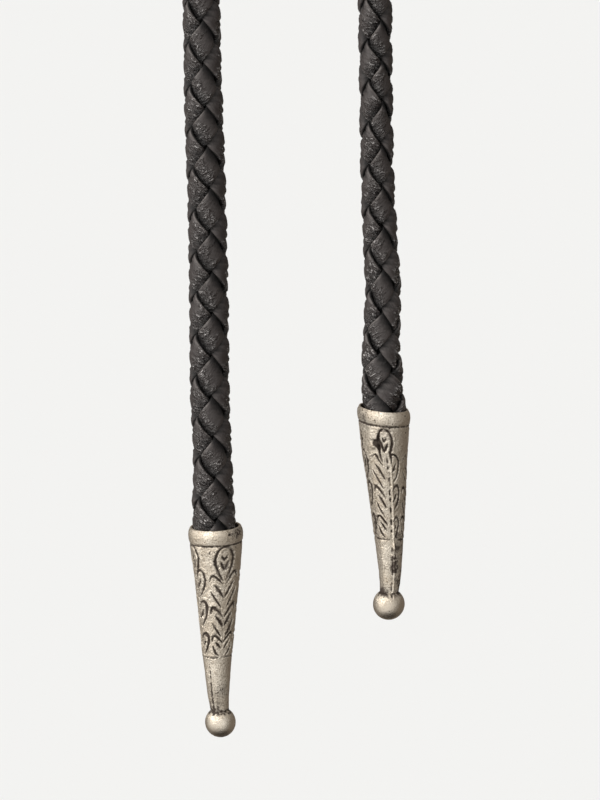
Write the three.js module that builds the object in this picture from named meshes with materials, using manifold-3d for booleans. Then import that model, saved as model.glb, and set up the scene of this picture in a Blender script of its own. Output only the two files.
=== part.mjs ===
// A bolo tie: one braided leather cord worn round a collar and drawn together at the throat by a
// slide, with a cast metal tip on each of its two hanging ends.
//
// Units are millimetres. +Z is up and -Y is the wearer's front. The origin is on the inside of the
// cord at the nape, where it rests on the neck. Left and right are as seen from the front.

import * as THREE from 'three';
import { mergeVertices } from 'three/addons/utils/BufferGeometryUtils.js';
import Module from 'manifold-3d';

// ---- Driving dimensions ------------------------------------------------------------------------

const GAP = 0.3; // between pieces that lie against each other

// Cord
const CORD_RADIUS = 3;
const CORD_SIDES = 10;
const CORD_STEP = 12; // length of one straight length of the swept tube
const CORD_X = 13.7; // each hanging end from the middle of the tie
const FRONT_Y = -126; // plane in which the ends hang

// Slide: a plain plate with a channel for each end of the cord behind it
const SLIDE_Z = -80; // middle of the slide
const CHANNEL_LENGTH = 22;
const CHANNEL_RADIUS = CORD_RADIUS + GAP;
const CHANNEL_WALL = 0.9;
const CHANNEL_SIDES = 32;
const PLATE_WIDTH = 40;
const PLATE_HEIGHT = 26;
const PLATE_CORNER = 6;
const PLATE_THICKNESS = 2;
const PLATE_EDGE = 0.5; // rounding of the plate's edges
const PLATE_CORNER_STEPS = 6;

// Tips: a tapered casting with an open cup for the cord, a narrow neck and a ball
const TIP_SIDES = 40;
const RIM_Z = { left: -354.2, right: -335.7 };
const CUP_DEPTH = 5.6;
const CUP_FLOOR_RADIUS = CORD_RADIUS + GAP;
const CUP_MOUTH_RADIUS = 3.6;
const BALL_RADIUS = 2.46;
const BALL_DROP = 32; // ball's centre below the rim
const BALL_STEPS = 12;

// Outside of a tip, from the rim down to where the neck runs into the ball
const TIP_SECTIONS = [
  { name: 'lip', drop: 0, radius: 3.95 },
  { name: 'lip_edge', drop: 0.35, radius: 4.24 },
  { name: 'band', drop: 0.9, radius: 4.31 },
  { name: 'band_foot', drop: 2.1, radius: 4.19 },
  { name: 'groove', drop: 2.45, radius: 3.98 },
  { name: 'shoulder', drop: 2.9, radius: 4.1 },
  { name: 'upper_cone', drop: 8.5, radius: 3.56 },
  { name: 'middle_cone', drop: 14, radius: 3.01 },
  { name: 'lower_cone', drop: 21, radius: 2.34 },
  { name: 'neck', drop: 26.6, radius: 1.8 },
  { name: 'neck_foot', drop: 30.1, radius: 1.43 },
];

// ---- Routes of the cord --------------------------------------------------------------------------

const CHANNEL_TOP = SLIDE_Z + CHANNEL_LENGTH / 2;
const CHANNEL_FOOT = SLIDE_Z - CHANNEL_LENGTH / 2;

// Right half of the stretch round the neck, from inside the slide up, round the collar and back
// to the nape: [x, y, z]
const NECK_ROUTE = [
  [CORD_X, FRONT_Y, SLIDE_Z + GAP / 2],
  [CORD_X, FRONT_Y, CHANNEL_TOP],
  [CORD_X + 0.3, FRONT_Y + 0.2, -63],
  [19.5, -122, -52],
  [31.5, -111, -41],
  [46.5, -93, -31.5],
  [58.5, -70, -23],
  [63, -46, -15],
  [57.5, -24, -8],
  [43, -8, -3],
  [23, 0.6, -0.6],
  [0, CORD_RADIUS, 0],
];

// Hanging ends, from inside the slide down into the cup of the tip: [x, y, z]
const END_ROUTES = {
  left: [
    [-CORD_X, FRONT_Y, SLIDE_Z - GAP / 2],
    [-CORD_X, FRONT_Y, CHANNEL_FOOT],
    [-CORD_X, FRONT_Y, -104],
    [-CORD_X - 0.3, FRONT_Y + 0.1, -130],
    [-CORD_X - 0.5, FRONT_Y + 0.2, -148],
    [-CORD_X - 0.7, FRONT_Y + 0.3, -165],
    [-CORD_X - 0.8, FRONT_Y + 0.5, -200],
    [-CORD_X - 0.4, FRONT_Y + 0.4, -235],
    [-CORD_X + 0.2, FRONT_Y + 0.2, -268],
    [-CORD_X + 0.1, FRONT_Y + 0.1, -285],
    [-CORD_X + 0.2, FRONT_Y, -301],
    [-CORD_X + 0.1, FRONT_Y - 0.1, -317],
    [-CORD_X - 0.15, FRONT_Y, -333],
    [-CORD_X, FRONT_Y, -343],
    [-CORD_X - 0.1, FRONT_Y, -350],
    [-CORD_X, FRONT_Y, RIM_Z.left - 1.8],
    [-CORD_X, FRONT_Y, RIM_Z.left - CUP_DEPTH + GAP],
  ],
  right: [
    [CORD_X, FRONT_Y, SLIDE_Z - GAP / 2],
    [CORD_X, FRONT_Y, CHANNEL_FOOT],
    [CORD_X, FRONT_Y, -104],
    [CORD_X + 0.2, FRONT_Y + 0.2, -130],
    [CORD_X + 0.4, FRONT_Y + 0.4, -148],
    [CORD_X + 0.6, FRONT_Y + 0.5, -165],
    [CORD_X + 0.8, FRONT_Y + 0.6, -200],
    [CORD_X + 0.4, FRONT_Y + 0.4, -235],
    [CORD_X - 0.1, FRONT_Y + 0.1, -268],
    [CORD_X - 0.25, FRONT_Y, -283],
    [CORD_X - 0.35, FRONT_Y, -299],
    [CORD_X - 0.1, FRONT_Y - 0.1, -309],
    [CORD_X + 0.15, FRONT_Y - 0.1, -317],
    [CORD_X - 0.3, FRONT_Y, -325.5],
    [CORD_X - 0.25, FRONT_Y, -330.5],
    [CORD_X, FRONT_Y, RIM_Z.right - 1.2],
    [CORD_X, FRONT_Y, RIM_Z.right - CUP_DEPTH + GAP],
  ],
};

// ---- Materials -----------------------------------------------------------------------------------

const leather = () => new THREE.MeshStandardMaterial({ color: 0x35312f, roughness: 0.55 });
const antiqueSilver = () =>
  new THREE.MeshStandardMaterial({ color: 0xaaa394, roughness: 0.38, metalness: 0.9 });

// ---- Solids --------------------------------------------------------------------------------------

const wasm = await Module();
wasm.setup();

/** A closed geometry as a solid that can be joined and cut. */
function solidOf(geometry) {
  const bare = geometry.clone();
  bare.deleteAttribute('normal');
  bare.deleteAttribute('uv');
  const merged = mergeVertices(bare);
  const triVerts = Uint32Array.from(merged.index.array);
  const vertProperties = Float32Array.from(merged.attributes.position.array);
  return new wasm.Manifold(new wasm.Mesh({ numProp: 3, vertProperties, triVerts }));
}

/** A solid back as a geometry. */
function geometryOf(solid) {
  const mesh = solid.getMesh();
  const geometry = new THREE.BufferGeometry();
  geometry.setAttribute('position', new THREE.BufferAttribute(mesh.vertProperties, 3));
  geometry.setIndex(new THREE.BufferAttribute(mesh.triVerts, 1));
  geometry.computeVertexNormals();
  return geometry;
}

function named(name, geometry, material) {
  const mesh = new THREE.Mesh(geometry, material);
  mesh.name = name;
  return mesh;
}

// ---- Cord ----------------------------------------------------------------------------------------

function cordSection() {
  const section = new THREE.Shape();
  for (let i = 0; i < CORD_SIDES; i++) {
    const angle = (2 * Math.PI * i) / CORD_SIDES;
    const x = CORD_RADIUS * Math.cos(angle);
    const y = CORD_RADIUS * Math.sin(angle);
    if (i === 0) section.moveTo(x, y);
    else section.lineTo(x, y);
  }
  section.closePath();
  return section;
}

function cordAlong(name, route) {
  const points = route.map((point) => new THREE.Vector3(...point));
  const path = new THREE.CatmullRomCurve3(points, false, 'centripetal');
  const steps = Math.round(path.getLength() / CORD_STEP);
  const geometry = new THREE.ExtrudeGeometry(cordSection(), {
    steps,
    extrudePath: path,
    bevelEnabled: false,
  });
  return named(name, geometry, leather());
}

function neckLoop() {
  const rightHalf = NECK_ROUTE;
  const leftHalf = NECK_ROUTE.slice(0, -1).map(([x, y, z]) => [-x, y, z]);
  return cordAlong('cord_neck_loop', [...leftHalf, ...rightHalf.toReversed()]);
}

// ---- Slide ---------------------------------------------------------------------------------------

function plateOutline() {
  const right = PLATE_WIDTH / 2 - PLATE_EDGE;
  const top = PLATE_HEIGHT / 2 - PLATE_EDGE;
  const corner = PLATE_CORNER - PLATE_EDGE;
  const outline = new THREE.Shape();
  outline.moveTo(right, top - corner);
  outline.absarc(right - corner, top - corner, corner, 0, Math.PI / 2);
  outline.absarc(corner - right, top - corner, corner, Math.PI / 2, Math.PI);
  outline.absarc(corner - right, corner - top, corner, Math.PI, 1.5 * Math.PI);
  outline.absarc(right - corner, corner - top, corner, 1.5 * Math.PI, 2 * Math.PI);
  return outline;
}

function channelPart(radius, length) {
  const part = new THREE.CylinderGeometry(radius, radius, length, CHANNEL_SIDES);
  part.rotateX(Math.PI / 2);
  return part;
}

/** Plate with two tubes behind it, soldered into one piece. Its own origin is between the tubes. */
function slide() {
  const plate = new THREE.ExtrudeGeometry(plateOutline(), {
    depth: PLATE_THICKNESS - 2 * PLATE_EDGE,
    bevelEnabled: true,
    bevelSize: PLATE_EDGE,
    bevelThickness: PLATE_EDGE,
    bevelSegments: 3,
    curveSegments: PLATE_CORNER_STEPS,
  });
  const plateBack = -(CHANNEL_RADIUS + GAP);
  plate.rotateX(Math.PI / 2);
  plate.translate(0, plateBack - PLATE_EDGE, 0);

  let body = solidOf(plate);
  for (const x of [-CORD_X, CORD_X]) {
    const tube = channelPart(CHANNEL_RADIUS + CHANNEL_WALL, CHANNEL_LENGTH).translate(x, 0, 0);
    body = body.add(solidOf(tube));
  }
  for (const x of [-CORD_X, CORD_X]) {
    const bore = channelPart(CHANNEL_RADIUS, 2 * PLATE_HEIGHT).translate(x, 0, 0);
    body = body.subtract(solidOf(bore));
  }
  const mesh = named('slide', geometryOf(body), antiqueSilver());
  mesh.position.set(0, FRONT_Y, SLIDE_Z);
  return mesh;
}

// ---- Tips ----------------------------------------------------------------------------------------

/** Half section of a tip, from the bottom of the ball up the outside and down into the cup. */
function tipProfile() {
  const neckFoot = TIP_SECTIONS.at(-1);
  const start = -Math.PI / 2;
  const end = Math.acos(neckFoot.radius / BALL_RADIUS);
  const points = [];
  for (let i = 0; i < BALL_STEPS; i++) {
    const angle = start + ((end - start) * i) / BALL_STEPS;
    const radius = i === 0 ? 0 : BALL_RADIUS * Math.cos(angle);
    points.push([radius, BALL_RADIUS * Math.sin(angle) - BALL_DROP]);
  }
  for (const { drop, radius } of TIP_SECTIONS.toReversed()) points.push([radius, -drop]);
  points.push([CUP_MOUTH_RADIUS, -GAP], [CUP_FLOOR_RADIUS, -CUP_DEPTH], [0, -CUP_DEPTH]);
  return points.map(([radius, height]) => new THREE.Vector2(radius, height));
}

function tip(side) {
  const geometry = new THREE.LatheGeometry(tipProfile(), TIP_SIDES);
  geometry.rotateX(Math.PI / 2);
  const mesh = named(`tip_${side}`, geometry, antiqueSilver());
  mesh.position.set(side === 'left' ? -CORD_X : CORD_X, FRONT_Y, RIM_Z[side]);
  return mesh;
}

// ---- Bolo tie ------------------------------------------------------------------------------------

const boloTie = new THREE.Group();
boloTie.add(neckLoop(), slide());
for (const side of ['left', 'right']) {
  boloTie.add(cordAlong(`cord_end_${side}`, END_ROUTES[side]), tip(side));
}

export default boloTie;
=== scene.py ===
"""Looks of a bolo tie: a braided leather cord, its plain slide and its two engraved cast tips.

Sizes in the classes are millimetres, and MM turns them into the frame's metres. +Z is up, -Y is the
wearer's front, and left and right are as seen from the front.
"""

import logging
import math
from dataclasses import dataclass, field
from enum import Enum

import bmesh
import bpy
import numpy as np
from mathutils import Matrix, Vector, noise


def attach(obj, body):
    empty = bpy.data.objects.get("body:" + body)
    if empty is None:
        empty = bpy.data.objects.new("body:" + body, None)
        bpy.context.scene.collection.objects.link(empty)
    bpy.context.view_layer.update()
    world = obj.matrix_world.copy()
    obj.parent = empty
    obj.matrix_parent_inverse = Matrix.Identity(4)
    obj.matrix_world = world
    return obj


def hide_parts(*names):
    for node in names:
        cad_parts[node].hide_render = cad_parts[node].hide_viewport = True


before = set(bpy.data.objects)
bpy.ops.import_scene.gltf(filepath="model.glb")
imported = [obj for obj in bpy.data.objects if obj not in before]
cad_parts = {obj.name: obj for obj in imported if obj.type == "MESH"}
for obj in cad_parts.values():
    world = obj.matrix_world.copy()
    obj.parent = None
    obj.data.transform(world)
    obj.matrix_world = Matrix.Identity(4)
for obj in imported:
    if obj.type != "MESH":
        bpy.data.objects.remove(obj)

MM = 0.001
BODY = "root"
LEATHER_SLOT = "leather"
SILVER_SLOT = "antique_silver"

Colour = tuple[float, float, float]
Point = tuple[float, float, float]
Pairs = tuple[tuple[float, float], ...]
Inputs = dict[str | int, object]
Array = np.ndarray
Material = bpy.types.Material

log = logging.getLogger("bolo_tie")


class Side(Enum):
    """The two hanging ends, as seen from the front."""

    LEFT = -1
    RIGHT = 1

    @property
    def word(self) -> str:
        """The side's name in lower case."""
        return self.name.lower()


# ---- Shader maths ----------------------------------------------------------------------------------


class Value:
    """One number that varies over a surface, with the usual operators."""

    def __init__(self, shader: "Nodes", socket: bpy.types.NodeSocket) -> None:
        """Wraps a socket of one shader."""
        self.shader = shader
        self.socket = socket

    def _math(self, operation: str, *terms: "Value | float") -> "Value":
        """Adds one Math node."""
        inputs = dict(enumerate(terms))
        return self.shader.node("ShaderNodeMath", {"operation": operation}, inputs)

    def __add__(self, other: "Value | float") -> "Value":
        """self + other."""
        return self._math("ADD", self, other)

    def __sub__(self, other: "Value | float") -> "Value":
        """self - other."""
        return self._math("SUBTRACT", self, other)

    def __mul__(self, other: "Value | float") -> "Value":
        """self * other."""
        return self._math("MULTIPLY", self, other)

    def __rsub__(self, other: float) -> "Value":
        """other - self."""
        return self._math("SUBTRACT", other, self)

    __radd__ = __add__
    __rmul__ = __mul__

    def ramp(self, low: float, high: float, to_low: float = 0.0, to_high: float = 1.0) -> "Value":
        """Smooth step.

        Args:
            low: value that becomes to_low.
            high: value that becomes to_high.
            to_low: result at and below low.
            to_high: result at and above high.

        Returns:
            The value eased between the two results.
        """
        inputs = {"Value": self, "From Min": low, "From Max": high, "To Min": to_low, "To Max": to_high}
        settings = {"interpolation_type": "SMOOTHSTEP"}
        return self.shader.node("ShaderNodeMapRange", settings, inputs, output="Result")


class Nodes:
    """A node tree that is built by expressions."""

    def __init__(self, owner: Material | bpy.types.World) -> None:
        """Empties the node tree of a material or world."""
        owner.use_nodes = True
        self.tree = owner.node_tree
        self.tree.nodes.clear()

    def node(
        self,
        kind: str,
        settings: dict[str, object] | None = None,
        inputs: Inputs | None = None,
        output: str | int = 0,
    ) -> Value:
        """Adds a node.

        Args:
            kind: the node's type.
            settings: properties that are set before the sockets are used.
            inputs: numbers, tuples or Values for sockets, by name or place.
            output: the socket that is returned.

        Returns:
            The chosen output.
        """
        made = self.tree.nodes.new(kind)
        for key, value in (settings or {}).items():
            setattr(made, key, value)
        for key, value in (inputs or {}).items():
            if isinstance(value, Value):
                self.tree.links.new(value.socket, made.inputs[key])
            else:
                made.inputs[key].default_value = value
        return Value(self, made.outputs[output])

    def end(self, kind: str, surface: Value) -> None:
        """Joins a shader to an output node."""
        last = self.tree.nodes.new(kind)
        self.tree.links.new(surface.socket, last.inputs["Surface"])


class Shader(Nodes):
    """Node tree of one material."""

    def __init__(self, name: str) -> None:
        """Starts an empty material."""
        self.material = bpy.data.materials.new(name)
        super().__init__(self.material)

    def attribute(self, name: str, output: str = "Fac") -> Value:
        """A number or vector that the mesh carries."""
        return self.node("ShaderNodeAttribute", {"attribute_name": name}, output=output)

    def mapped(self, vector: Value, scale: Point) -> Value:
        """A vector stretched along its axes."""
        return self.node("ShaderNodeMapping", {}, {"Vector": vector, "Scale": scale})

    def noise(self, vector: Value, scale: float, detail: float = 2.0, rough: float = 0.5) -> Value:
        """Fractal noise from 0 to 1."""
        inputs = {"Vector": vector, "Scale": scale, "Detail": detail, "Roughness": rough}
        return self.node("ShaderNodeTexNoise", {}, inputs)

    def cells(self, vector: Value, scale: float, feature: str = "F1") -> Value:
        """Distance to the nearest cell point or wall."""
        inputs = {"Vector": vector, "Scale": scale}
        return self.node("ShaderNodeTexVoronoi", {"feature": feature}, inputs, output="Distance")

    def blend(self, share: "Value | float", first: "Value | Colour", second: "Value | Colour") -> Value:
        """A colour between two colours."""
        inputs: Inputs = {0: share}
        for place, colour in ((6, first), (7, second)):
            inputs[place] = colour if isinstance(colour, Value) else (*colour, 1.0)
        return self.node("ShaderNodeMix", {"data_type": "RGBA"}, inputs, output=2)

    def bump(self, height: Value, depth: float, below: Value | None = None) -> Value:
        """A normal tilted by a height.

        Args:
            height: from 0 to 1.
            depth: how deep 1 is, in metres.
            below: the normal under this layer.

        Returns:
            The new normal.
        """
        inputs: Inputs = {"Height": height, "Distance": depth, "Strength": 1.0}
        if below is not None:
            inputs["Normal"] = below
        return self.node("ShaderNodeBump", {}, inputs)

    def finish(self, inputs: Inputs) -> Material:
        """Joins a Principled surface to the output and returns the material."""
        self.end("ShaderNodeOutputMaterial", self.node("ShaderNodeBsdfPrincipled", {}, inputs))
        return self.material


# ---- Finishes --------------------------------------------------------------------------------------


@dataclass(frozen=True)
class BraidLeather:
    """Black waxed lace leather: matt faces, glossy wrinkles, paler cut edges, painted highlights and
    painted shade.
    """

    name: str = "black_lace_leather"
    dye: Colour = (0.028, 0.0215, 0.02)
    worn: Colour = (0.056, 0.046, 0.043)
    # pale grey of the painted highlight flecks on the wrinkles
    painted_fleck_highlight: Colour = (0.46, 0.44, 0.43)
    # paler cut edge, laid on stronger at the upper edges as a painted highlight
    cut_edge_and_highlight: Colour = (0.14, 0.124, 0.117)
    # near black of the painted shade where laces dive, on their undersides and on the core
    painted_crevice_shade: Colour = (0.005, 0.004, 0.004)
    matt: float = 0.52
    gloss: float = 0.17
    grain_per_mm: float = 3.4
    grain_depth: float = 0.05 * MM
    fibre_depth: float = 0.05 * MM
    wrinkle_depth: float = 0.36 * MM
    fleck_depth: float = 0.17 * MM
    sheen: float = 0.55

    def material(self) -> Material:
        """Builds the material. It reads the braid's attributes lace, cut, wrinkle and the mask of its
        painted crevice shade.
        """
        s = Shader(self.name)
        lace = s.attribute("lace", "Vector")
        cut = s.attribute("cut")
        crevice_shade = s.attribute("crevice_shade")
        cloud = s.noise(lace, 0.42, 2.0)
        fibre = s.noise(s.mapped(lace, (1.8, 0.7, 1.0)), 1.6, 4.0, 0.65)
        grain = s.cells(s.mapped(lace, (1.0, 0.75, 1.0)), self.grain_per_mm)
        fold = s.noise(s.mapped(lace, (1.0, 1.25, 1.0)), 1.1, 3.0, 0.6)
        fleck = s.noise(s.mapped(lace, (1.0, 0.8, 1.0)), 3.7, 3.0, 0.65)
        wrinkled = (cloud + s.attribute("wrinkle") * 0.6).ramp(0.58, 0.95)
        # Painted highlight: pale grey flecks on the glossy wrinkles, standing for glints of the light.
        painted_flecks = fleck.ramp(0.51, 0.63) * fold.ramp(0.46, 0.6) * wrinkled
        wear = cloud.ramp(0.4, 0.7) * 0.3 + fibre.ramp(0.45, 0.75) * 0.35
        # Paler cut edges: the leather's own cut edge, made stronger on the upper edges as a painted
        # highlight.
        edge = cut * fibre.ramp(0.25, 0.6)
        colour = s.blend(wear, self.dye, self.worn)
        colour = s.blend(painted_flecks, colour, self.painted_fleck_highlight)
        colour = s.blend(edge, colour, self.cut_edge_and_highlight)
        # Painted shade: near black where a lace dives under its neighbour, on lace undersides and on the
        # core.
        colour = s.blend(crevice_shade, colour, self.painted_crevice_shade)
        rough = self.matt - wrinkled * (self.matt - self.gloss) + fibre * 0.08 + cut * 0.15 + crevice_shade * 0.3
        normal = s.bump(fold.ramp(0.36, 0.64) * wrinkled, self.wrinkle_depth)
        normal = s.bump(fleck * wrinkled, self.fleck_depth, normal)
        normal = s.bump(fibre, self.fibre_depth, normal)
        normal = s.bump(grain, self.grain_depth, normal)
        shine = {"Roughness": rough, "Specular IOR Level": self.sheen}
        return s.finish({"Base Color": colour, "Normal": normal, **shine})


@dataclass(frozen=True)
class AntiqueSilver:
    """Cast silver-coloured alloy with dark tarnish where polishing doesn't reach, its dark colour also used
    as painted shade.
    """

    name: str = "antique_silver"
    bright: Colour = (0.7, 0.635, 0.54)
    dull: Colour = (0.4, 0.33, 0.25)
    # dark colour of tarnish and of painted shade
    patina_and_shade: Colour = (0.045, 0.031, 0.022)
    rough_low: float = 0.3
    rough_high: float = 0.5
    cast_depth: float = 0.14 * MM
    dent_depth: float = 0.09 * MM
    mottles_per_m: float = 4000.0
    dents_per_m: float = 1100.0
    clouds_per_m: float = 380.0

    def material(self) -> Material:
        """Builds the material. It reads a casting's polish and its dark channel of tarnish and painted
        shade.
        """
        s = Shader(self.name)
        place = s.node("ShaderNodeTexCoord", {}, output="Object")
        patina_and_shade = s.attribute("patina_and_shade")
        polish = s.attribute("polish")
        plain = 1.0 - polish * 0.6
        mottle = s.noise(place, self.mottles_per_m, 3.0, 0.7)
        dents = s.noise(place, self.dents_per_m, 3.0, 0.6)
        cloud = s.noise(place, self.clouds_per_m, 3.0)
        speck = mottle.ramp(0.49, 0.68) * plain
        dulled = cloud.ramp(0.3, 0.7) * 0.45 + speck * 0.8
        dark = (patina_and_shade * 1.2 + speck * (patina_and_shade * 0.8 + 0.2)).ramp(0.12, 0.95)
        colour = s.blend(dulled, self.bright, self.dull)
        colour = s.blend(dark, colour, self.patina_and_shade)
        rough = cloud.ramp(0.25, 0.75, self.rough_low, self.rough_high) + dark * 0.25 - polish * 0.14
        metal = 1.0 - dark * 0.7
        normal = s.bump(dents * plain, self.dent_depth)
        normal = s.bump(mottle * plain, self.cast_depth, normal)
        return s.finish({"Base Color": colour, "Metallic": metal, "Roughness": rough, "Normal": normal})


@dataclass(frozen=True)
class PaleFloor:
    """Plain matt floor, lit like the backdrop behind it."""

    name: str = "pale_floor"
    colour: Colour = (0.6, 0.6, 0.595)
    glow: Colour = (0.233, 0.245, 0.255)

    def material(self) -> Material:
        """Builds the material, with a faint unevenness in its roughness."""
        s = Shader(self.name)
        place = s.node("ShaderNodeTexCoord", {}, output="Object")
        rough = s.noise(place, 40.0).ramp(0.3, 0.7, 0.85, 0.95)
        light = {"Emission Color": (*self.glow, 1.0), "Emission Strength": 1.0, "Specular IOR Level": 0.0}
        return s.finish({"Base Color": (*self.colour, 1.0), "Roughness": rough, **light})


# ---- Meshes ----------------------------------------------------------------------------------------


def made_object(name: str, bm: bmesh.types.BMesh, material: Material) -> bpy.types.Object:
    """Turns a bmesh into a smooth-shaded object at the origin.

    Args:
        name: the piece's name.
        bm: the shape, in millimetres, which is freed.
        material: its finish.

    Returns:
        The new object, linked to the scene.
    """
    bmesh.ops.recalc_face_normals(bm, faces=bm.faces)
    for face in bm.faces:
        face.smooth = True
    mesh = bpy.data.meshes.new(name)
    bm.to_mesh(mesh)
    bm.free()
    mesh.transform(Matrix.Scale(MM, 4))
    mesh.materials.append(material)
    made = bpy.data.objects.new(name, mesh)
    bpy.context.scene.collection.objects.link(made)
    return made


def points_of(mesh: bpy.types.Mesh) -> Array:
    """Vertex places in millimetres, a row each."""
    flat = np.empty(len(mesh.vertices) * 3)
    mesh.vertices.foreach_get("co", flat)
    return flat.reshape(-1, 3) / MM


def move_points(mesh: bpy.types.Mesh, points: Array) -> None:
    """Gives a mesh new vertex places, in millimetres."""
    mesh.vertices.foreach_set("co", (points * MM).ravel())
    mesh.update()


def give_numbers(mesh: bpy.types.Mesh, name: str, values: Array) -> None:
    """Stores a number, or a vector of three, on each vertex."""
    kind = "FLOAT" if values.ndim == 1 else "FLOAT_VECTOR"
    layer = mesh.attributes.new(name, kind, "POINT")
    layer.data.foreach_set("value" if kind == "FLOAT" else "vector", values.astype(np.float32).ravel())


def roughened(points: Array, size: float, seed: float) -> Array:
    """Smooth noise from -1 to 1 at each point.

    Args:
        points: places in millimetres.
        size: rough size of one lump, in millimetres.
        seed: moves the pattern.

    Returns:
        One number a point.
    """
    return np.array([noise.noise(Vector(p) / size + Vector((seed, seed, seed))) for p in points])


def bell(away: Array, reach: Array | float) -> Array:
    """1 where away is 0, and next to nothing beyond twice the reach."""
    return np.exp(-((away / reach) ** 2))


def place_piece(piece: bpy.types.Object, slot: str, *nodes: str) -> bpy.types.Object:
    """Lets a piece stand for CAD nodes, which it hides, and logs it."""
    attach(piece, BODY)
    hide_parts(*nodes)
    log.info("%s: %d faces for %s", piece.name, len(piece.data.polygons), ", ".join(nodes))
    return piece


# ---- Cord ------------------------------------------------------------------------------------------

CORD_X = 13.7
FRONT_Y = -126.0
SLIDE_Z = -80.0
CHANNEL_LENGTH = 22.0
CHANNEL_TOP = SLIDE_Z + CHANNEL_LENGTH / 2
CHANNEL_FOOT = SLIDE_Z - CHANNEL_LENGTH / 2
HALF_GAP = 0.15
CORD_DIAMETER = 6.0
CUP_DEPTH = 5.6
CORD_DIP = CUP_DEPTH - 2 * HALF_GAP
RIM_Z = {Side.LEFT: -354.2, Side.RIGHT: -335.7}

# Right half of the stretch round the neck, from inside the slide back to the nape
NECK_ROUTE: list[Point] = [
    (CORD_X, FRONT_Y, SLIDE_Z + HALF_GAP), (CORD_X, FRONT_Y, CHANNEL_TOP),
    (CORD_X + 0.3, FRONT_Y + 0.2, -63), (19.5, -122, -52), (31.5, -111, -41), (46.5, -93, -31.5),
    (58.5, -70, -23), (63, -46, -15), (57.5, -24, -8), (43, -8, -3), (23, 0.6, -0.6),
    (0, CORD_DIAMETER / 2, 0),
]

# Hanging ends, from inside the slide down into the cup of the tip: how far a point lies to the right
# and to the back of straight down, and its height
END_SWAYS: dict[Side, list[Point]] = {
    Side.LEFT: [
        (0, 0, SLIDE_Z - HALF_GAP), (0, 0, CHANNEL_FOOT), (0, 0, -104), (-0.3, 0.1, -130),
        (-0.5, 0.2, -148), (-0.7, 0.3, -165), (-0.8, 0.5, -200), (-0.4, 0.4, -235),
        (0.2, 0.2, -268), (0.1, 0.1, -285), (0.2, 0, -301), (0.1, -0.1, -317), (-0.15, 0, -333),
        (0, 0, -343), (-0.1, 0, -350), (0, 0, RIM_Z[Side.LEFT] - 1.8),
        (0, 0, RIM_Z[Side.LEFT] - CORD_DIP),
    ],
    Side.RIGHT: [
        (0, 0, SLIDE_Z - HALF_GAP), (0, 0, CHANNEL_FOOT), (0, 0, -104), (0.2, 0.2, -130),
        (0.4, 0.4, -148), (0.6, 0.5, -165), (0.8, 0.6, -200), (0.4, 0.4, -235), (-0.1, 0.1, -268),
        (-0.25, 0, -283), (-0.35, 0, -299), (-0.1, -0.1, -309), (0.15, -0.1, -317),
        (-0.3, 0, -325.5), (-0.25, 0, -330.5), (0, 0, RIM_Z[Side.RIGHT] - 1.2),
        (0, 0, RIM_Z[Side.RIGHT] - CORD_DIP),
    ],
}

# How the braid lies at a distance above the rim of a tip: (distance, angle of the column of
# crossings at the front in degrees, outside radius)
END_BRAIDS: dict[Side, tuple[Point, ...]] = {
    Side.LEFT: (
        (1.4, 8.5, 3.52), (4.6, 8.5, 3.46), (8.1, 8.0, 3.3), (15, 4.5, 3.2), (21.5, 2.5, 3.26),
        (28, 8, 3.25), (35, 10.5, 3.25), (48, 10.5, 3.19), (55, 10.5, 3.18), (61.5, 4, 3.19),
        (68, 8.5, 3.16), (75, 0, 3.07), (82, -1, 3.07),
    ),
    Side.RIGHT: (
        (0, -34, 3.48), (3, -29, 3.46), (6.4, -21, 3.36), (9.5, -13, 3.12), (16, -5.5, 3.0),
        (22.5, -2, 2.93), (29.5, 10.5, 2.84), (36, 20, 2.77), (42.5, 20, 2.74), (50, 30, 2.74),
        (56.5, 27, 2.75), (63, 22, 2.8),
    ),
}


class Route:
    """A smooth curve through points, with a frame that doesn't twist along it."""

    STEPS = 40  # between two points

    def __init__(self, points: list[Point], start_normal: Point) -> None:
        """Works out the curve.

        Args:
            points: places in millimetres.
            start_normal: direction of angle 0 at the first point.
        """
        self.line = self._curve(np.array(points, float))
        steps = np.linalg.norm(np.diff(self.line, axis=0), axis=1)
        self.along = np.concatenate([[0.0], np.cumsum(steps)])
        self.length = float(self.along[-1])
        self.tangent = np.gradient(self.line, axis=0)
        self.tangent /= np.linalg.norm(self.tangent, axis=1)[:, None]
        self.normal = self._carried(np.array(start_normal, float))

    def _curve(self, points: Array) -> Array:
        """A centripetal Catmull-Rom curve through the points."""
        first, last = 2 * points[0] - points[1], 2 * points[-1] - points[-2]
        ends = np.vstack([first, points, last])
        share = np.arange(self.STEPS)[:, None] / self.STEPS
        stretches = []
        for p0, p1, p2, p3 in zip(ends, ends[1:], ends[2:], ends[3:]):
            d0, d1, d2 = (math.sqrt(np.linalg.norm(b - a)) for a, b in ((p0, p1), (p1, p2), (p2, p3)))
            leave = ((p1 - p0) / d0 - (p2 - p0) / (d0 + d1) + (p2 - p1) / d1) * d1
            arrive = ((p2 - p1) / d1 - (p3 - p1) / (d1 + d2) + (p3 - p2) / d2) * d1
            cubic = 2 * p1 - 2 * p2 + leave + arrive
            square = -3 * p1 + 3 * p2 - 2 * leave - arrive
            stretches.append(p1 + leave * share + square * share**2 + cubic * share**3)
        return np.vstack([*stretches, points[-1:]])

    def _carried(self, normal: Array) -> Array:
        """The first normal carried along without turning about the curve."""
        carried = []
        for tangent in self.tangent:
            normal = normal - tangent * (normal @ tangent)
            normal = normal / np.linalg.norm(normal)
            carried.append(normal)
        return np.array(carried)

    def place(self, along: Array, angle: Array, radius: Array) -> Array:
        """Points round the curve.

        Args:
            along: distance from the first point.
            angle: from the carried normal, in radians.
            radius: distance from the curve.

        Returns:
            Places in millimetres.
        """

        def at(rows: Array) -> Array:
            return np.column_stack([np.interp(along, self.along, column) for column in rows.T])

        tangent, normal = at(self.tangent), at(self.normal)
        across = np.cross(normal, tangent)
        out = np.cos(angle)[:, None] * normal + np.sin(angle)[:, None] * across
        return at(self.line) + out * radius[:, None]


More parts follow.
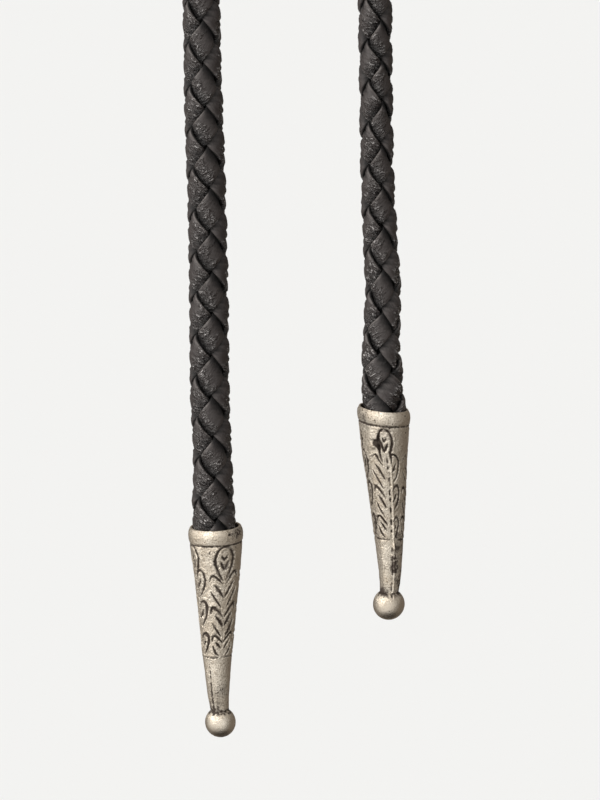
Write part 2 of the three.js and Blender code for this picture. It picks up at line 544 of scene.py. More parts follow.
@dataclass
class Braid:
    """A round braid: three laces wind one way and three the other, over one and under one."""

    route: Route
    shape: tuple[Point, ...] = ((0.0, 0.0, 3.0),)  # a row as in END_BRAIDS
    mouth: float = 3.52  # most that the tip's mouth lets in
    rim: float = 0.0  # distance of the tip's rim along the route
    pitch: float = 6.61  # between two like crossings in one column
    phase: float = 0.0  # height above the rim of a crossing with a rising lace on top, at the front
    seed: float = 0.0
    step: float = 0.45
    corners: int = 20
    lace_angle: float = 53.0  # half width of a lace round the cord, in degrees
    thickness: float = 0.95
    rise: float = 0.55  # how far a lace climbs or dives from the middle
    steep: float = 2.2  # how suddenly it dives
    early: tuple[float, float] = (0.22, 0.0)  # how much sooner the rising and the falling laces dive
    core: float = 1.25
    ways: int = 3  # laces that wind each way
    lane: float = 10.0  # keeps the laces apart while they are straight

    def build(self, name: str, material: Material) -> bpy.types.Object:
        """Makes the six laces and the core as one mesh.

        Args:
            name: the piece's name.
            material: its leather.

        Returns:
            The braid, in place along its route.
        """
        made = made_object(name, self._straight_laces(), material)
        points = points_of(made.data)
        lane = np.rint(points[:, 0] / self.lane).astype(int)
        points[:, 0] -= lane * self.lane
        around = np.arctan2(points[:, 1], points[:, 0])
        along = np.clip(points[:, 2], 0.0, 1.0) * self.route.length
        self._wind(made.data, lane, along, *self._section(around))
        return made

    def _straight_laces(self) -> bmesh.types.BMesh:
        """Seven straight rods side by side, cut into short lengths."""
        bm = bmesh.new()
        for lane in range(2 * self.ways + 1):
            stand = Matrix.Translation((lane * self.lane, 0, 0.5))
            bmesh.ops.create_cone(
                bm, cap_ends=True, segments=self.corners, radius1=1, radius2=1, depth=1, matrix=stand
            )
        lengthwise = [e for e in bm.edges if abs(e.verts[0].co.z - e.verts[1].co.z) > 0.5]
        cuts = round(self.route.length / self.step) - 1
        bmesh.ops.subdivide_edges(bm, edges=lengthwise, cuts=cuts)
        return bm

    def _section(self, around: Array) -> tuple[Array, Array]:
        """Rounded flat section of a lace, from -1 to 1 across and through."""
        across = np.sign(np.cos(around)) * np.abs(np.cos(around)) ** 0.42
        height = np.sign(np.sin(around)) * np.abs(np.sin(around)) ** 0.38
        return across, height * (1.0 - 0.08 * across**2)

    def _wind(
        self,
        mesh: bpy.types.Mesh,
        lane: Array,
        along: Array,
        across: Array,
        height: Array,
    ) -> None:
        """Winds the straight laces round the route and stores what the leather reads."""
        above = self.rim - along  # above the rim, towards the slide
        way = np.where(lane < self.ways, 1.0, -1.0)
        heights, columns, radii = zip(*self.shape)
        column = np.radians(np.interp(above, heights, columns))
        outside = np.minimum(np.interp(above, heights, radii), self.mouth + 0.06 * above)
        turn = 2 * math.pi * (above - self.phase) / (self.ways * self.pitch)
        turn = turn + 0.04 * np.sin(above / 3.7 + self.seed)
        wander = 0.05 * np.sin(above / 3.1 + 1.7 * lane + self.seed)
        offset = across * math.radians(self.lace_angle) + wander
        start = column + 2 * math.pi * (lane % self.ways) / self.ways
        angle = start + way * turn + offset
        crossing = 1.5 * (2 * turn + way * offset)
        dive = way * np.cos(crossing) - np.where(way > 0, *self.early)
        lift = np.tanh(self.steep * dive) / math.tanh(self.steep)
        middle = outside - self.rise - self.thickness / 2
        rough = roughened(np.column_stack([across * 2.2, above, 9.0 * lane]), 1.1, self.seed)
        radius = middle + self.rise * lift + height * self.thickness / 2 + 0.05 * rough * (height > 0)
        core = lane == 2 * self.ways
        radius = np.where(core, self.core, radius)
        angle = np.where(core, np.arctan2(across, height), angle)
        move_points(mesh, self.route.place(along, angle, radius))
        width = outside * math.radians(self.lace_angle)
        give_numbers(mesh, "lace", np.column_stack([across * width, above, 7.0 * lane + self.seed]))
        # Cut edge mask: full on the upper edge of a lace and on raised stretches, faint below, so partly
        # painted highlight.
        rim = np.clip((np.abs(across) - 0.88) / 0.07, 0.0, 1.0) * (height > 0.4)
        upper_edge = way * across < 0
        shown = np.where(upper_edge, np.where(way > 0, 1.0, 0.7), 0.2)
        give_numbers(mesh, "cut", rim * shown * np.clip(lift + 0.3, 0.0, 1.0))
        # Mask of painted shade: where a lace sinks under its neighbour, on its underside and on the core.
        sunk = np.clip((np.where(way > 0, 0.8, 0.5) - lift) / 0.5, 0.0, 1.0)
        give_numbers(mesh, "crevice_shade", np.where(core, 1.0, np.maximum(sunk, 1.0 * (height < 0.2))))
        lower_end = 0.35 - 0.75 * way * np.sin(crossing) - 0.25 * way * across
        near_tip = 0.35 * bell(above, 7.0)
        give_numbers(mesh, "wrinkle", np.clip(lower_end + near_tip, 0.0, 1.0))


@dataclass
class Cord:
    """The one cord of the tie, in the three stretches between its slide and its tips."""

    leather: Material
    phase: dict[Side, float] = field(default_factory=lambda: {Side.LEFT: 4.85, Side.RIGHT: 6.05})

    def build_end(self, side: Side) -> tuple[bpy.types.Object, Route]:
        """Makes one hanging end and returns it with its route."""
        middle = side.value * CORD_X
        points = [(middle + right, FRONT_Y + back, z) for right, back, z in END_SWAYS[side]]
        route = Route(points, (0, -1, 0))
        braid = Braid(
            route,
            shape=END_BRAIDS[side],
            rim=route.length - CORD_DIP,
            phase=self.phase[side],
            seed=3.0 + side.value,
        )
        name = f"cord_end_{side.word}"
        return place_piece(braid.build(f"braid_end_{side.word}", self.leather), LEATHER_SLOT, name), route

    def build_neck_loop(self) -> bpy.types.Object:
        """Makes the stretch round the neck."""
        left_half = [(-x, y, z) for x, y, z in NECK_ROUTE[:-1]]
        route = Route([*left_half, *reversed(NECK_ROUTE)], (0, -1, 0))
        braid = Braid(route, rim=route.length, seed=8.0, step=0.5, corners=14)
        return place_piece(braid.build("braid_neck_loop", self.leather), LEATHER_SLOT, "cord_neck_loop")

    def declare_end(self, route: Route, tip: bpy.types.Object) -> None:
        """Works out points along the route of a hanging end, in metres, and keeps none of them."""
        route.line[:: Route.STEPS // 8] * MM


# ---- Tips ------------------------------------------------------------------------------------------


@dataclass(frozen=True)
class Stroke:
    """One engraved stroke, cut on both sides of the middle of a leaf column."""

    left: float  # how bold it is on the left side
    right: float
    points: Pairs  # degrees from the middle, distance below the rim


BUD_STROKES: dict[str, Stroke] = {
    "bud": Stroke(
        1.3, 1.45, ((0, 2.7), (10, 2.9), (18.5, 3.6), (23.5, 4.6), (22, 5.6), (16, 6.7), (9, 7.6), (4, 8.2))
    ),
    "upper_chevron": Stroke(1.15, 1.15, ((6.5, 4.2), (0, 4.9))),
    "lower_chevron": Stroke(1.45, 1.45, ((10.5, 5.1), (5, 5.9), (0, 6.5))),
}

LEAF_STROKES: dict[str, Stroke] = {
    "first_leaf": Stroke(0.9, 1.25, ((4, 8.8), (16, 7.8), (27, 7.2), (34, 7.3), (37, 8.1))),
    "first_side": Stroke(0.8, 1.0, ((35, 9.8), (29, 10.5), (18, 11.6), (8, 12.6))),
    "first_vein": Stroke(1.15, 1.0, ((25, 8.7), (14, 9.7), (2, 11.0))),
    "second_leaf": Stroke(1.35, 1.4, ((3, 14.2), (15, 13.2), (28, 12.5), (34, 12.6), (37, 13.4))),
    "second_side": Stroke(0.85, 1.15, ((34, 15.0), (28, 15.7), (18, 16.6), (8, 17.4))),
    "second_vein": Stroke(1.25, 1.1, ((23.5, 13.9), (13, 14.8), (3, 15.7))),
    "third_leaf": Stroke(1.0, 1.05, ((0, 18.6), (12, 17.9), (25, 17.3), (33, 17.4), (37, 18.1))),
    "third_side": Stroke(0.8, 0.85, ((34, 18.9), (29, 19.7), (22, 20.2), (12, 20.7))),
    "third_vein": Stroke(0.85, 0.85, ((24, 18.3), (5, 19.5))),
}

# Right halves of the leaves beside a mould seam, where the outline comes round to the stem
CLOSED_STROKES: dict[str, Stroke] = {
    "first_leaf": Stroke(
        0, 1.15, ((5, 8.3), (13, 7.2), (23, 6.75), (32, 7.1), (34, 8.3), (30, 9.5), (22, 10.5), (11, 11.3))
    ),
    "first_vein": Stroke(0, 1.0, ((22, 8.2), (14, 9.1), (5, 9.7))),
    "second_leaf": Stroke(
        0, 1.25, ((6, 12.8), (15, 12.1), (27, 11.9), (35, 12.6), (33, 13.8), (26, 14.9), (13, 15.9))
    ),
    "second_vein": Stroke(0, 1.0, ((23, 13.2), (15, 14.0), (6, 14.6))),
    "third_leaf": Stroke(
        0, 1.1, ((6, 17.9), (16, 17.3), (28, 17.2), (35, 17.9), (32, 19.0), (23, 20.0), (12, 20.6))
    ),
    "third_vein": Stroke(0, 0.8, ((22, 18.4), (12, 19.2))),
}


@dataclass(frozen=True)
class Blemish:
    """A soft lump, pit or stain that casting left on the outside of a tip."""

    angle: float
    drop: float
    half_width: float
    half_height: float
    rise: float  # negative for a pit
    stain: float = 0.0


# A tarnished stretch of the rim with one pit, and a stain at its left
LEFT_FLAWS = (
    Blemish(62, 0.7, 2.3, 0.8, -0.03, 0.6),
    Blemish(34, 0.75, 0.3, 0.25, -0.2, 1.0),
    Blemish(-86, 1.3, 0.5, 1.6, 0.0, 0.5),
)

# The worse of the two castings: a torn stroke beside the bud, nicks beside its seam and a run of
# metal at the foot of it
RIGHT_FLAWS = tuple(
    Blemish(*numbers)
    for numbers in (
        (0, 3.05, 1.0, 0.18, -0.1, 0.7), (-14, 4.5, 0.24, 0.85, -0.3, 1.8),
        (-18.5, 5.15, 0.62, 0.42, -0.42, 2.6), (-14.5, 5.6, 0.3, 0.35, -0.4, 2.2),
        (-25, 4.9, 0.4, 0.18, -0.28, 1.1), (-27, 5.85, 0.34, 0.3, 0.32),
        (-13, 6.2, 0.2, 0.4, -0.25, 0.9),
        *(
            (6.5 + 0.42 * (drop - 7.8), drop, 0.12, half_height, -0.22, 1.1)
            for drop, half_height in (
                (7.8, 0.5), (9.1, 0.35), (11.0, 0.2), (13.2, 0.4), (14.3, 0.2), (16.0, 0.45),
                (18.0, 0.45), (19.6, 0.3),
            )
        ),
        (18, 22.3, 0.2, 0.7, 0.32), (17, 23.8, 0.36, 0.35, 0.22), (24, 24.0, 0.16, 0.2, -0.22, 1.0),
        (15, 24.3, 0.65, 1.5, 0.0, 0.4), (12, 25.4, 0.3, 0.16, -0.15, 0.7),
        (16, 26.2, 0.25, 0.2, -0.18, 0.9),
    )
)


def smooth_stroke(points: Pairs, steps: int = 5) -> Array:
    """Rounds the corners of a stroke.

    Args:
        points: the stroke's points.
        steps: new points for each old one.

    Returns:
        More points, on a Catmull-Rom curve through the old ones.
    """
    known = np.array(points, float)
    ends = np.vstack([2 * known[0] - known[1], known, 2 * known[-1] - known[-2]])
    share = np.arange(steps)[:, None] / steps
    parts = []
    for p0, p1, p2, p3 in zip(ends, ends[1:], ends[2:], ends[3:]):
        square, cubic = 2 * p0 - 5 * p1 + 4 * p2 - p3, 3 * p1 - p0 - 3 * p2 + p3
        parts.append(p1 + 0.5 * ((p2 - p0) * share + square * share**2 + cubic * share**3))
    return np.vstack([*parts, known[-1:]])


@dataclass(frozen=True)
class Casting:
    """How rough both castings are. Sizes are millimetres, and stains run from 0 to 1."""

    lump: tuple[float, float] = (1.3, 0.035)  # size and height of a soft lump
    grain: tuple[float, float] = (0.4, 0.02)
    cloud: float = 3.0  # size of a tarnished cloud
    cloud_stain: float = 0.35
    ring_width: float = 0.14
    ring_depth: float = 0.1
    ring_stain: float = 0.7
    groove_width: float = 0.17
    groove_stain: float = 0.9
    pit_from: float = 0.42  # grain above this is a pit
    pit_foot: float = 4.0  # lowest pit, below the rim
    pit_depth: float = 0.16
    pit_stain: float = 2.5
    edge_height: float = 0.07  # of the metal pushed up beside a stroke
    stroke_stain: float = 1.1
    joint_width: float = 0.38  # of the dark ring over the ball
    cup_stain: float = 0.8


class Shell:
    """The points of a spun tip as seen from its axis, with the noise that its casting follows."""

    def __init__(self, points: Array, tip: "Tip") -> None:
        """Measures the points of a tip that stands with its rim at the origin."""
        side = tip.side.value
        self.drop = -points[:, 2]  # below the rim
        self.radius = np.hypot(points[:, 0], points[:, 1])
        self.turn = np.degrees(np.arctan2(points[:, 0], -points[:, 1]))  # from the front
        self.wall = (self.radius > tip.cup_mouth + 0.1) | (self.drop > CUP_DEPTH + 0.05)
        self.cone = self.wall & (self.drop < tip.ball_drop - 1.9)
        self.lumps = roughened(points, tip.casting.lump[0], 5.0 + side)
        self.fine = roughened(points, tip.casting.grain[0], 9.0 + side)
        self.broad = roughened(points, tip.casting.cloud, 2.0 + side)

    def across(self, angle: "float | Array") -> Array:
        """How far round to the right of an angle each point lies."""
        return np.radians((self.turn - angle + 180.0) % 360.0 - 180.0) * self.radius

    def mottle(
        self,
        level: float,
        broad: float = 0.0,
        lumps: float = 0.0,
        fine: float = 0.0,
        low: float = 0.0,
        high: float = 1.2,
    ) -> Array:
        """An uneven strength.

        Args:
            level: its middle.
            broad: share of the clouds in it.
            lumps: share of the lumps.
            fine: share of the grain.
            low: least that it can be.
            high: most that it can be.

        Returns:
            The strength at each point.
        """
        return np.clip(level + broad * self.broad + lumps * self.lumps + fine * self.fine, low, high)


@dataclass
class Tip:
    """A cast tip: a cup with a banded rim, an engraved cone, a plain neck and a ball."""

    side: Side
    silver: Material
    column: float  # angle of the leaf column that faces the front, in degrees
    seam: float  # angle of the mould seam, in degrees
    seam_top: float = 21.5  # where the seam starts to show, below the rim
    seam_height: float = 0.07
    seam_width: float = 0.14
    seam_shadow: float = 0.3  # painted shadow along its left side
    painted_shade_past_seam: float = 0.0  # painted shade on its right side
    foot_stain: float = 1.3
    skew: float = 0.0  # how much lower the right side lies than the left
    bend: Pairs = ((0, 0),)  # distance below the rim, shift to the right
    bud_widths: tuple[float, float] = (0.95, 0.95)  # of the left and right half of a bud
    leaf_widths: tuple[float, float] = (1.06, 1.1)  # of the left and right leaves
    slip: float = 0.0  # how far the right leaves lie from the middle, in degrees
    closed: tuple[float, float] = (-180, 180)  # angles between which the right leaves are closed
    leaf_tilt: float = 0.0  # how much higher the right side of a leaf column lies
    fold: float = 0.0  # angle of a long step in the casting, or 0
    fold_step: float = 0.09
    fold_darkening: float = 0.28  # how much darker it is left of the step
    blemishes: tuple[Blemish, ...] = ()
    casting: Casting = Casting()
    ball: float = 2.45
    ball_drop: float = 32.1
    cup_mouth: float = 3.6
    cup_floor: float = 3.3
    groove: float = 2.5  # distance of the turned groove below the rim
    ring: float = 21.0  # distance of the broken ring at the foot of the leaves
    stroke: float = 0.18
    engraving: float = 0.26
    turns: int = 240
    outside: Pairs = (  # distance below the rim, radius
        (0.36, 4.16), (0.7, 4.28), (1.2, 4.33), (1.8, 4.28), (2.4, 4.2), (3.6, 4.11), (8.5, 3.59),
        (14.0, 3.03), (21.0, 2.39), (26.6, 1.85), (30.2, 1.5),
    )

    def build(self) -> bpy.types.Object:
        """Makes the tip by spinning its half section, then engraves it."""
        bm = bmesh.new()
        verts = [bm.verts.new((radius, 0, -drop)) for radius, drop in self._half_section()]
        edges = [bm.edges.new(pair) for pair in zip(verts, verts[1:])]
        spun = {"cent": (0, 0, 0), "axis": (0, 0, 1), "angle": 2 * math.pi, "steps": self.turns}
        bmesh.ops.spin(bm, geom=[*verts, *edges], use_merge=True, **spun)
        bmesh.ops.remove_doubles(bm, verts=bm.verts, dist=0.0005)
        made = made_object(f"cast_tip_{self.side.word}", bm, self.silver)
        self._engrave(made.data)
        return place_piece(made, SILVER_SLOT, f"tip_{self.side.word}")

    def _half_section(self) -> list[tuple[float, float]]:
        """Half section from the cup's floor over the rim and down to the bottom of the ball."""
        lip, outer, rings = 0.36, self.outside[0][1], 12
        points = [(0.0, CUP_DEPTH), (1.2, CUP_DEPTH), (2.4, CUP_DEPTH), (self.cup_floor, CUP_DEPTH)]
        for i in range(1, rings):
            share = i / rings
            radius = self.cup_floor + (self.cup_mouth - self.cup_floor) * share
            points.append((radius, CUP_DEPTH + (lip - CUP_DEPTH) * share))
        middle, half = (self.cup_mouth + outer) / 2, (outer - self.cup_mouth) / 2
        for i in range(rings + 1):
            angle = math.pi - math.pi * i / rings
            points.append((middle + half * math.cos(angle), lip - lip * math.sin(angle)))
        drop, foot = lip, self.outside[-1][0]
        while drop < foot - 0.15:
            drop += 0.1 if drop < self.ring + 0.5 else 0.15
            points.append((self._outside(drop), drop))
        start = math.asin(self._outside(foot) / self.ball)
        for i in range(29):
            angle = start + (math.pi - start) * i / 28
            points.append((self.ball * math.sin(angle), self.ball_drop - self.ball * math.cos(angle)))
        points[-1] = (0.0, self.ball_drop + self.ball)
        return points

    def _outside(self, drop: float) -> float:
        """Radius of the outside at a distance below the rim, with its turned groove."""
        drops, radii = zip(*self.outside)
        step = 0.05 * math.tanh((self.groove - drop) / 0.2)
        turned = 0.13 * math.exp(-(((drop - self.groove) / 0.16) ** 2))
        return float(np.interp(drop, drops, radii)) + step - turned

    def _engrave(self, mesh: bpy.types.Mesh) -> None:
        """Cuts the leaves, raises the seam and pits the casting, then stores its tarnish with painted
        shade, and polish.
        """
        casting, points = self.casting, points_of(mesh)
        shell = Shell(points, self)
        drop, wall, cone = shell.drop, shell.wall, shell.cone
        cut, raised = self._leaf_cut(shell)
        cut = cut * wall * shell.mottle(0.95, lumps=0.5, fine=0.4, low=0.3, high=1.25)
        ring = bell(drop - self.ring - 0.12 * shell.lumps, casting.ring_width)
        ring = ring * shell.mottle(0.75, lumps=1.1, fine=0.8, high=1.1) * wall
        groove = bell(drop - self.groove, casting.groove_width) * wall
        groove = groove * shell.mottle(0.85, fine=0.9, low=0.3, high=1.1)
        seam, beside = (values * wall for values in self._seam(shell))
        pits = np.clip(shell.fine - casting.pit_from, 0.0, 1.0) * wall
        pits = pits * (drop < casting.pit_foot)
        out = self.seam_height * seam - self.engraving * cut
        out -= casting.ring_depth * ring + casting.pit_depth * pits
        out += casting.edge_height * raised * (1.0 - cut) * cone
        out += (casting.lump[1] * shell.lumps + casting.grain[1] * shell.fine) * cone
        stain = casting.groove_stain * groove + casting.ring_stain * ring + casting.pit_stain * pits
        if self.fold:
            past = np.clip((shell.turn - self.fold) / 2.0, -30, 30)
            behind = cone / (1 + np.exp(past)) * (shell.turn > self.fold - 60)
            out -= self.fold_step * behind
            stain += self.fold_darkening * behind
        for blemish in self.blemishes:
            spot = bell(shell.across(blemish.angle), blemish.half_width) * wall
            spot = spot * bell(drop - blemish.drop, blemish.half_height)
            out += blemish.rise * spot
            stain += blemish.stain * spot * shell.mottle(0.85, fine=1.2)
        # Painted shadow along the left of the raised seam, then the tarnish and painted shade below.
        stain += self.seam_shadow * beside * shell.mottle(0.6, fine=1.4) + self._tarnish_and_shade(shell)
        self._stand(points, shell, out)
        move_points(mesh, points)
        # The dark channel holds tarnish and also the painted shade and shadow.
        give_numbers(mesh, "patina_and_shade", np.clip(casting.stroke_stain * cut + stain, 0.0, 1.0))
        ball = np.clip((drop - self.ball_drop + 1.2) / 0.8, 0.0, 1.0)
        give_numbers(mesh, "polish", np.maximum(ball, 0.8 * seam * (drop > 8.0)))

    def _tarnish_and_shade(self, shell: Shell) -> Array:
        """Tarnish in the cup, on the neck and over the ball, and painted shade under the ball and past the
        seam.
        """
        drop, wall, cone = shell.drop, shell.wall, shell.cone
        neck = np.clip((drop - self.ring - 4.0) / 5.0, 0.0, 1.0) * cone
        foot = bell(drop - self.outside[-1][0], self.casting.joint_width) * wall
        # Painted shade right of the seam, where the casting's right half is set at a slight angle.
        past = np.clip((shell.turn - self.seam) / 4.0, 0.0, 1.0) * (shell.turn < self.seam + 90)
        past = past * np.clip((drop - 12) / 9, 0, 1) * cone
        # Painted shade on the underside of the ball.
        under = np.clip((drop - self.ball_drop - 0.9) / 1.1, 0.0, 1.0)
        stain = self.casting.cup_stain * (~wall & (shell.radius < 4.2))
        stain = stain + self.casting.cloud_stain * shell.mottle(0, broad=1, lumps=0.3, high=1) * cone
        stain += neck * shell.mottle(0.15, broad=0.9, lumps=0.5, fine=0.4, high=0.6)
        stain += self.foot_stain * foot * shell.mottle(0.75, fine=1.3, low=0.1, high=1.1)
        stain += self.painted_shade_past_seam * past * shell.mottle(0.8, lumps=1, fine=0.8, high=1.5)
        # Adds the painted shade under the ball.
        return stain + under * shell.mottle(0.22, lumps=0.5, fine=0.5, high=0.6)

    def _stand(self, points: Array, shell: Shell, out: Array) -> None:
        """Moves the points outward and stands the tip, leaning and bent, on the end of its cord."""
        scale = (shell.radius + out) / np.maximum(shell.radius, 0.01)
        scale[shell.radius < 0.01] = 1.0
        points[:, :2] *= scale[:, None]
        level = np.clip((self.ball_drop - shell.drop) / 9.0, 0.0, 1.0)
        points[:, 2] += RIM_Z[self.side] - self.skew * points[:, 0] * level
        points[:, 0] += self.side.value * CORD_X + np.interp(shell.drop, *zip(*self.bend))
        points[:, 1] += FRONT_Y

    def _leaf_cut(self, shell: Shell) -> tuple[Array, Array]:
        """Where the engraved strokes lie.

        Args:
            shell: the points of the tip.

        Returns:
            How deep each point lies in the strokes and how high on their raised edges, from 0 to 1.
        """
        engraved = (shell.drop > self.groove - 0.2) & (shell.drop < self.ring + 0.4) & (shell.radius > 0.1)
        ragged = 1.0 + 0.8 * shell.fine + 0.3 * shell.lumps  # factor on the distance from a stroke
        shown = (shell.turn, shell.drop, shell.radius, ragged)
        turn, drop, radius, ragged = (values[engraved] for values in shown)
        signed = (turn - self.column + 45.0) % 90.0 - 45.0
        right, leafy = signed > 0, np.clip((drop - 6.5) / 1.5, 0.0, 1.0)
        widths = [bud + (leaf - bud) * leafy for bud, leaf in zip(self.bud_widths, self.leaf_widths)]
        folded = np.where(right, (signed - self.slip * leafy) / widths[1], -signed / widths[0])
        x = np.radians(folded) * radius
        y = drop + self.leaf_tilt * np.radians(signed) * radius
        deepest, highest = np.zeros(len(x)), np.zeros(len(x))
        closed = right & (turn > self.closed[0]) & (turn < self.closed[1])
        places = ((BUD_STROKES, radius > 0), (LEAF_STROKES, ~closed), (CLOSED_STROKES, closed))
        for stroke, here in ((stroke, here) for strokes, here in places for stroke in strokes.values()):
            line = smooth_stroke(stroke.points)
            count = len(line) - 1
            bold = np.maximum(self.stroke * np.where(right, stroke.right, stroke.left) * here, 0.001)
            for i, ((a0, y0), (a1, y1)) in enumerate(zip(line, line[1:])):
                x0, x1 = np.radians(a0) * radius, np.radians(a1) * radius
                dx, dy = x1 - x0, y1 - y0
                share = np.clip(((x - x0) * dx + (y - y0) * dy) / (dx * dx + dy * dy), 0.0, 1.0)
                away = np.hypot(x - x0 - share * dx, y - y0 - share * dy) * ragged
                swelling = 0.45 + 0.55 * np.sin(math.pi * np.clip((i + share) / count, 0.02, 0.98)) ** 0.6
                width = bold * swelling
                deepest = np.maximum(deepest, swelling * bell(away, width))
                highest = np.maximum(highest, bell(away - 2.2 * width, width))
        depth, edge = np.zeros(len(engraved)), np.zeros(len(engraved))
        depth[engraved], edge[engraved] = deepest, highest
        return depth, edge

    def _seam(self, shell: Shell) -> tuple[Array, Array]:
        """Height of the mould's thin seam, and the band along its left that takes painted shadow, each from
        0 to 1.
        """
        away = shell.across(self.seam + 0.3 * (shell.drop - 15.0))
        reach = np.clip((shell.drop - self.seam_top) / 2.0, 0.0, 1.0)
        reach = reach * (shell.drop < self.ball_drop - 1.4)
        return bell(away, self.seam_width) * reach, bell(away + 0.33, self.seam_width) * reach


# ---- Slide -----------------------------------------------------------------------------------------


@dataclass
class Slide:
    """A plain plate with a channel behind it for each side of the cord."""

    silver: Material
    width: float = 40.0
    height: float = 26.0
    thickness: float = 2.0
    corner: float = 6.0
    edge: float = 0.5
    bore: float = 3.3
    wall: float = 0.9
    behind: float = 3.6  # back of the plate from the middle of the channels

    def build(self) -> bpy.types.Object:
        """Makes the plate and its two channels as one piece."""
        bm = bmesh.new()
        self._add_plate(bm)
        for side in Side:
            self._add_channel(bm, side.value * CORD_X)
        bmesh.ops.translate(bm, vec=(0, FRONT_Y, SLIDE_Z), verts=bm.verts)
        made = made_object("cast_slide", bm, self.silver)
        points = points_of(made.data)
        rough = roughened(points, 2.5, 4.0)
        beside = np.abs(points[:, 0]) / (self.width / 2)
        rim = np.maximum(beside, np.abs(points[:, 2] - SLIDE_Z) / (self.height / 2))
        back = points[:, 1] > FRONT_Y - self.behind - 0.1
        give_numbers(made.data, "patina_and_shade", np.clip(0.25 * back + 0.15 * rough, 0.0, 1.0))
        give_numbers(made.data, "polish", np.clip((rim - 0.9) * 8.0, 0.0, 1.0) * ~back)
        return place_piece(made, SILVER_SLOT, "slide")

    def _add_plate(self, bm: bmesh.types.BMesh) -> None:
        """Adds the plate, with rounded corners and edges."""
        cube = bmesh.ops.create_cube(bm, size=1)["verts"]
        bmesh.ops.scale(bm, vec=(self.width, self.thickness, self.height), verts=cube)
        bmesh.ops.translate(bm, vec=(0, -self.behind - self.thickness / 2, 0), verts=cube)
        posts = [e for e in bm.edges if abs(e.verts[0].co.y - e.verts[1].co.y) > self.thickness / 2]
        rounding = {"affect": "EDGES", "profile": 0.5, "material": -1}
        bmesh.ops.bevel(bm, geom=posts, offset=self.corner, segments=14, **rounding)
        outline = [e for e in bm.edges if abs(e.verts[0].co.y - e.verts[1].co.y) < 0.01]
        bmesh.ops.bevel(bm, geom=outline, offset=self.edge, segments=5, **rounding)

    def _add_channel(self, bm: bmesh.types.BMesh, x: float) -> None:
        """Adds one channel, a tube with rounded ends round the cord."""
        top, inner, outer = CHANNEL_LENGTH / 2, self.bore, self.bore + self.wall
        section = [
            (inner, -top + 0.2), (inner + 0.2, -top), (outer - 0.2, -top), (outer, -top + 0.2),
            (outer, top - 0.2), (outer - 0.2, top), (inner + 0.2, top), (inner, top - 0.2),
        ]
        verts = [bm.verts.new((x + radius, 0, z)) for radius, z in section]
        edges = [bm.edges.new(pair) for pair in zip(verts, [*verts[1:], verts[0]])]
        spun = {"cent": (x, 0, 0), "axis": (0, 0, 1), "angle": 2 * math.pi, "steps": 72}
        bmesh.ops.spin(bm, geom=[*verts, *edges], use_merge=True, **spun)


# ---- Studio ----------------------------------------------------------------------------------------


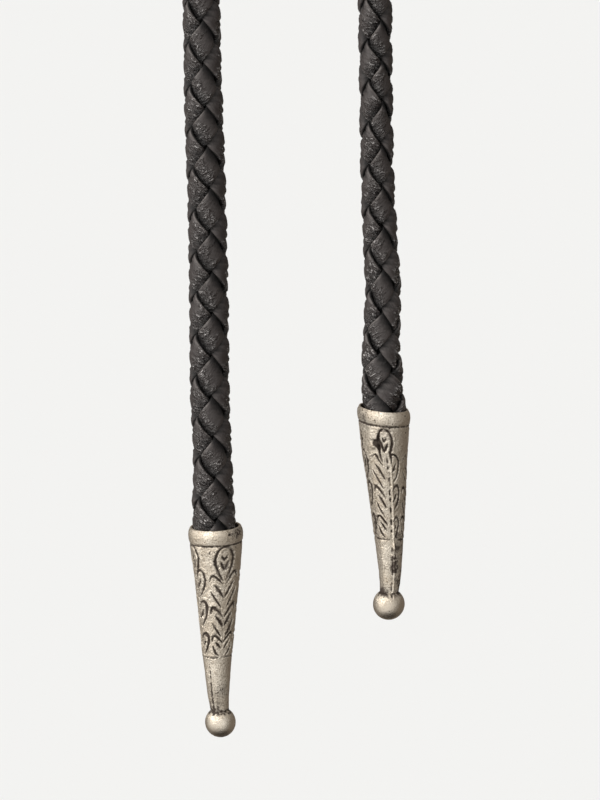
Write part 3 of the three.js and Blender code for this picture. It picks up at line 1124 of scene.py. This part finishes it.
@dataclass
class Studio:
    """Pale floor, soft light and the camera in front of the two hanging tips."""

    distance: float = 1.0
    pitch: float = 11.5
    roll: float = -1.42
    aim: Point = (0.35, FRONT_Y, -334.2)
    view_height: float = 126.4  # what the camera takes in at its aim
    sensor: float = 36.0
    floor_z: float = -0.62
    floor_size: float = 60.0
    glow_way: Point = (-0.5, -0.78, 0.38)  # towards the brightest side of the room
    dim: float = 0.235
    bright: float = 1.28
    room: Colour = (1.0, 0.99, 0.97)
    shade: Colour = (1.0, 0.87, 0.74)  # of its darker side
    underneath: float = 0.22  # brightness straight below
    backdrop: Colour = (0.8796, 0.8796, 0.8632)
    key_way: Point = (-0.77, -0.39, 0.5)
    key_spread: float = 36.0  # how wide it looks, in degrees
    key_strength: float = 2.1
    key_colour: Colour = (1.0, 0.975, 0.94)

    def add_camera(self) -> None:
        """Makes the camera and gives it to the scene."""
        data = bpy.data.cameras.new("camera")
        data.sensor_width = self.sensor
        data.lens = self.sensor * self.distance / (self.view_height * MM)
        camera = bpy.data.objects.new("camera", data)
        bpy.context.scene.collection.objects.link(camera)
        tilt = math.radians(self.pitch)
        back = Vector((0, -math.cos(tilt), math.sin(tilt)))
        look = (-back).to_track_quat("-Z", "Y").to_matrix().to_4x4()
        turned = look @ Matrix.Rotation(math.radians(self.roll), 4, "Z")
        camera.matrix_world = Matrix.Translation(Vector(self.aim) * MM + back * self.distance) @ turned
        bpy.context.scene.camera = camera

    def add_floor(self) -> None:
        """Makes the floor, far below the tie."""
        bm = bmesh.new()
        bmesh.ops.create_grid(bm, x_segments=4, y_segments=4, size=self.floor_size / 2 / MM)
        bmesh.ops.translate(bm, vec=(0, 0, self.floor_z / MM), verts=bm.verts)
        floor = made_object("floor", bm, PaleFloor().material())
        floor.visible_glossy = False
        floor.visible_diffuse = False

    def add_key(self) -> None:
        """Makes the one soft light, high on the left and the same everywhere."""
        data = bpy.data.lights.new("key", "SUN")
        data.angle = math.radians(self.key_spread)
        data.energy = self.key_strength
        data.color = self.key_colour
        light = bpy.data.objects.new("key", data)
        light.rotation_euler = Vector(self.key_way).to_track_quat("Z", "Y").to_euler()
        bpy.context.scene.collection.objects.link(light)

    def add_world(self) -> None:
        """Makes a room that is brighter on the left, behind a plain pale backdrop."""
        world = bpy.data.worlds.new("pale_room")
        n = Nodes(world)
        way = n.node("ShaderNodeTexCoord", {}, output="Generated")
        ways = {0: way, 1: self.glow_way}
        facing = n.node("ShaderNodeVectorMath", {"operation": "DOT_PRODUCT"}, ways, "Value")
        height = n.node("ShaderNodeSeparateXYZ", {}, {0: way}, "Z")
        above = height.ramp(-0.97, -0.6, self.underneath, 1.0)
        glow = facing.ramp(-0.38, 0.9, self.dim, self.bright) * above
        ends = {6: (*self.shade, 1.0), 7: (*self.room, 1.0)}
        tint = n.node("ShaderNodeMix", {"data_type": "RGBA"}, {0: facing.ramp(-0.6, 0.3), **ends}, 2)
        room = n.node("ShaderNodeBackground", {}, {"Color": tint, "Strength": glow})
        backdrop = n.node("ShaderNodeBackground", {}, {"Color": (*self.backdrop, 1.0)})
        seen = n.node("ShaderNodeLightPath", {}, output="Is Camera Ray")
        n.end("ShaderNodeOutputWorld", n.node("ShaderNodeMixShader", {}, {0: seen, 1: room, 2: backdrop}))
        bpy.context.scene.world = world
        bpy.context.scene.view_settings.view_transform = "Standard"

    def light(self) -> None:
        """Adds the floor, the room and the key light."""
        self.add_floor()
        self.add_world()
        self.add_key()


def main() -> None:
    """Builds the tie piece by piece, then its studio."""
    logging.basicConfig(level=logging.INFO, format="%(name)s: %(message)s")
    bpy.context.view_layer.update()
    studio = Studio()
    studio.add_camera()
    silver = AntiqueSilver().material()
    cord = Cord(BraidLeather().material())
    ends = {side: cord.build_end(side) for side in Side}
    tips = {
        Side.LEFT: Tip(
            Side.LEFT,
            silver,
            column=20.4,
            seam=-27.0,
            skew=-0.02,
            bend=(
                (0, 0.15), (8, 0.2), (12, 0.1), (17, 0),
                (21, -0.13), (28, -0.12), (30.5, 0.06), (34, 0.09),
            ),
            leaf_tilt=0.12,
            seam_shadow=0.9,
            closed=(-120, -25),
            blemishes=LEFT_FLAWS,
        ),
        Side.RIGHT: Tip(
            Side.RIGHT,
            silver,
            column=-1.0,
            seam=17.3,
            seam_top=7.0,
            seam_height=0.2,
            seam_shadow=0.5,
            painted_shade_past_seam=0.35,
            foot_stain=0.6,
            skew=0.12,
            bend=(
                (0, -0.2), (8, -0.22), (11, -0.05), (17, 0.11),
                (26.6, 0.27), (28.5, 0.2), (30.5, 0), (34, -0.06),
            ),
            bud_widths=(0.62, 0.84),
            leaf_widths=(1.03, 0.74),
            slip=14.0,
            leaf_tilt=-0.05,
            fold=-41.0,
            blemishes=RIGHT_FLAWS,
            ball=2.53,
            ball_drop=31.95,
            groove=2.35,
            stroke=0.168,
            outside=(
                (0.36, 4.02), (0.7, 4.14), (1.2, 4.2), (1.7, 4.17), (2.2, 4.08), (2.9, 4.04),
                (3.9, 3.96), (5.8, 3.8), (7.8, 3.62), (14.0, 3.03), (21.0, 2.39), (26.6, 1.87),
                (30.2, 1.52),
            ),
        ),
    }
    for side, (piece, route) in ends.items():
        cord.declare_end(route, tips[side].build())
    cord.build_neck_loop()
    Slide(silver).build()
    studio.light()


if __name__ == "__main__":
    main()
